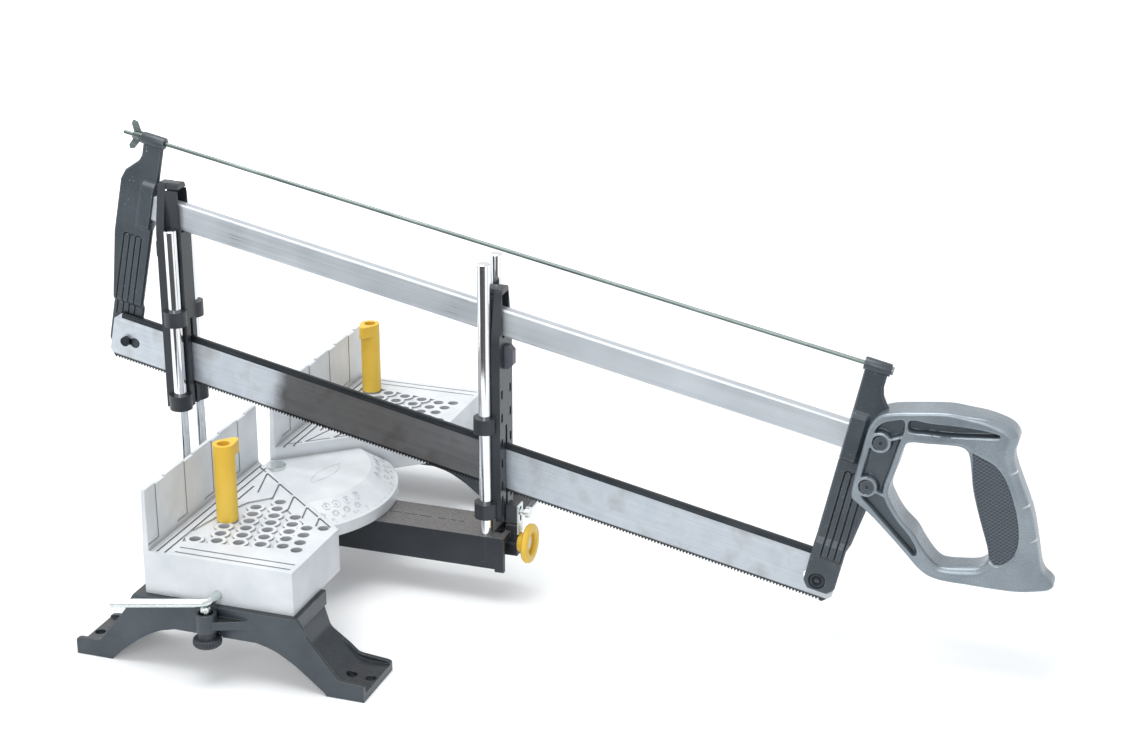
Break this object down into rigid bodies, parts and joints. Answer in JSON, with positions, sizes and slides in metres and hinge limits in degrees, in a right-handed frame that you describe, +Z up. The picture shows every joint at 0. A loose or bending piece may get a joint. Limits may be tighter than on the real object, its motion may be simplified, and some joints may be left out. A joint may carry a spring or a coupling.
{
  "type": "miter box with saw",
  "caption": "Cast miter box on two leg frames with a swivelling arm, post guides and a framed hand saw that slides, tilts and lifts in them.",
  "frame": {"origin": "on the bench at the centre of the four outer bolt holes of the leg frames", "axes": "+X along the fence to the right seen from the handle's end, +Y from the handle's end to the fence, +Z up"},
  "size_m": [0.3983, 0.7089, 0.3331],
  "materials": {
    "pale_casting": "satin",
    "charcoal_casting": "satin",
    "dark_sheet": "satin",
    "handle_paint": "satin",
    "chrome": "polished",
    "bright_steel": "brushed",
    "dark_steel": "satin",
    "blade_steel": "brushed",
    "bar_aluminium": "satin",
    "black_plastic": "matte",
    "grey_plastic": "matte",
    "yellow_plastic": "satin",
    "pale_plastic": "matte",
    "grip_rubber": "textured"
  },
  "bodies": {
    "bed": {"bed_casting": "pale_casting", "left_leg_frame": "charcoal_casting", "right_leg_frame": "charcoal_casting", "leg_screws": "dark_steel", "pivot_bolt": "bright_steel", "pivot_washer": "bright_steel", "pivot_nut": "bright_steel"},
    "near_cam": {"near_work_cam": "yellow_plastic"},
    "far_cam": {"far_work_cam": "yellow_plastic"},
    "stop_rod": {"length_stop_rod": "bright_steel"},
    "stop_knob": {"length_stop_knob": "black_plastic"},
    "arm": {"swivel_arm": "charcoal_casting", "front_left_post": "chrome", "front_right_post": "chrome", "rear_left_post": "chrome", "rear_right_post": "chrome", "post_screws": "dark_steel", "stop_strip": "bright_steel"},
    "hand_wheel": {"lock_wheel": "yellow_plastic"},
    "clamp": {"lock_shaft": "bright_steel", "clamp_shoe": "dark_steel"},
    "depth_stop": {"stop_block": "black_plastic"},
    "thumb_screw": {"stop_thumb_screw": "bright_steel"},
    "front_guide": {"front_guide": "black_plastic"},
    "front_catch": {"front_guide_catch": "grey_plastic"},
    "front_shoe": {"front_rocker_shoe": "pale_plastic"},
    "rear_guide": {"rear_guide": "black_plastic"},
    "rear_catch": {"rear_guide_catch": "grey_plastic"},
    "rear_shoe": {"rear_rocker_shoe": "pale_plastic"},
    "saw": {"saw_blade": "blade_steel", "blade_back_strip": "dark_steel", "rear_blade_stud": "dark_steel", "front_blade_stud": "dark_steel", "frame_bar": "bar_aluminium", "rear_end_arm": "dark_sheet", "front_end_arm": "dark_sheet", "tension_rod": "bright_steel", "rod_washer": "bright_steel", "saw_handle": "handle_paint", "grip_insert": "grip_rubber", "handle_screws": "dark_sheet"},
    "wing_nut": {"wing_nut": "bright_steel"}
  },
  "joints": [
    {"name": "swivel", "type": "hinge", "parent": "bed", "child": "arm", "pos_m": [0, 0.042, 0.0531], "axis": [0, 0, 1], "range_deg": [-45, 45]},
    {"name": "near_cam_turn", "type": "hinge", "parent": "bed", "child": "near_cam", "pos_m": [-0.114, 0.02275, 0.0845], "axis": [0, 0, 1], "continuous": true},
    {"name": "far_cam_turn", "type": "hinge", "parent": "bed", "child": "far_cam", "pos_m": [0.1501, 0.029, 0.0845], "axis": [0, 0, 1], "continuous": true},
    {"name": "stop_rod_slide", "type": "slide", "parent": "bed", "child": "stop_rod", "axis": [-1, 0, 0], "range_m": [0, 0.05]},
    {"name": "stop_knob_turn", "type": "hinge", "parent": "bed", "child": "stop_knob", "pos_m": [-0.1893, 0.00236, 0.0531], "axis": [0, 0, 1], "range_deg": [0, 360]},
    {"name": "lock_wheel_turn", "type": "hinge", "parent": "arm", "child": "hand_wheel", "pos_m": [0, -0.155, 0.04305], "axis": [0, 1, 0], "range_deg": [0, 360]},
    {"name": "clamp_travel", "type": "slide", "parent": "arm", "child": "clamp", "axis": [0, 1, 0], "range_m": [0, 0.0015]},
    {"name": "depth_stop_slide", "type": "slide", "parent": "arm", "child": "depth_stop", "axis": [0, 0, 1], "range_m": [-0.0014, 0.0008]},
    {"name": "thumb_screw_turn", "type": "hinge", "parent": "depth_stop", "child": "thumb_screw", "pos_m": [0, -0.155, 0.06754], "axis": [0, 1, 0], "range_deg": [0, 360]},
    {"name": "guide_lift", "type": "slide", "parent": "arm", "child": "front_guide", "axis": [0, 0, 1], "range_m": [-0.006, 0.045]},
    {"name": "saw_tilt", "type": "hinge", "parent": "front_guide", "child": "front_shoe", "pos_m": [0, -0.13344, 0.20326], "axis": [1, 0, 0], "range_deg": [-12, 0]},
    {"name": "rear_guide_travel", "type": "slide", "parent": "front_guide", "child": "rear_guide", "axis": [0, 0, 1], "range_m": [-0.05274, 0.0002]},
    {"name": "rear_shoe_tilt", "type": "hinge", "parent": "rear_guide", "child": "rear_shoe", "pos_m": [0, 0.11374, 0.25581], "axis": [1, 0, 0], "range_deg": [-12.2, 0.2]},
    {"name": "saw_stroke", "type": "slide", "parent": "front_shoe", "child": "saw", "axis": [0, -0.9781, -0.2079], "range_m": [-0.22, 0]},
    {"name": "wing_nut_turn", "type": "hinge", "parent": "saw", "child": "wing_nut", "pos_m": [0, 0.12758, 0.31906], "axis": [0, 0.9795, 0.2014], "range_deg": [0, 360]},
    {"name": "front_catch_press", "type": "slide", "parent": "front_guide", "child": "front_catch", "axis": [0, 1, 0], "range_m": [0, 0.002], "stiffness_N_per_m": 400, "springref_m": -0.001},
    {"name": "rear_catch_press", "type": "slide", "parent": "rear_guide", "child": "rear_catch", "axis": [0, -1, 0], "range_m": [0, 0.002], "stiffness_N_per_m": 400, "springref_m": -0.001}
  ],
  "couplings": [
    {"joint": "rear_guide_travel", "follows": "saw_tilt", "m_per_rad": 0.25087},
    {"joint": "rear_shoe_tilt", "follows": "saw_tilt", "ratio": 1},
    {"joint": "lock_wheel_turn", "follows": "clamp_travel", "rad_per_m": 4188.8}
  ]
}
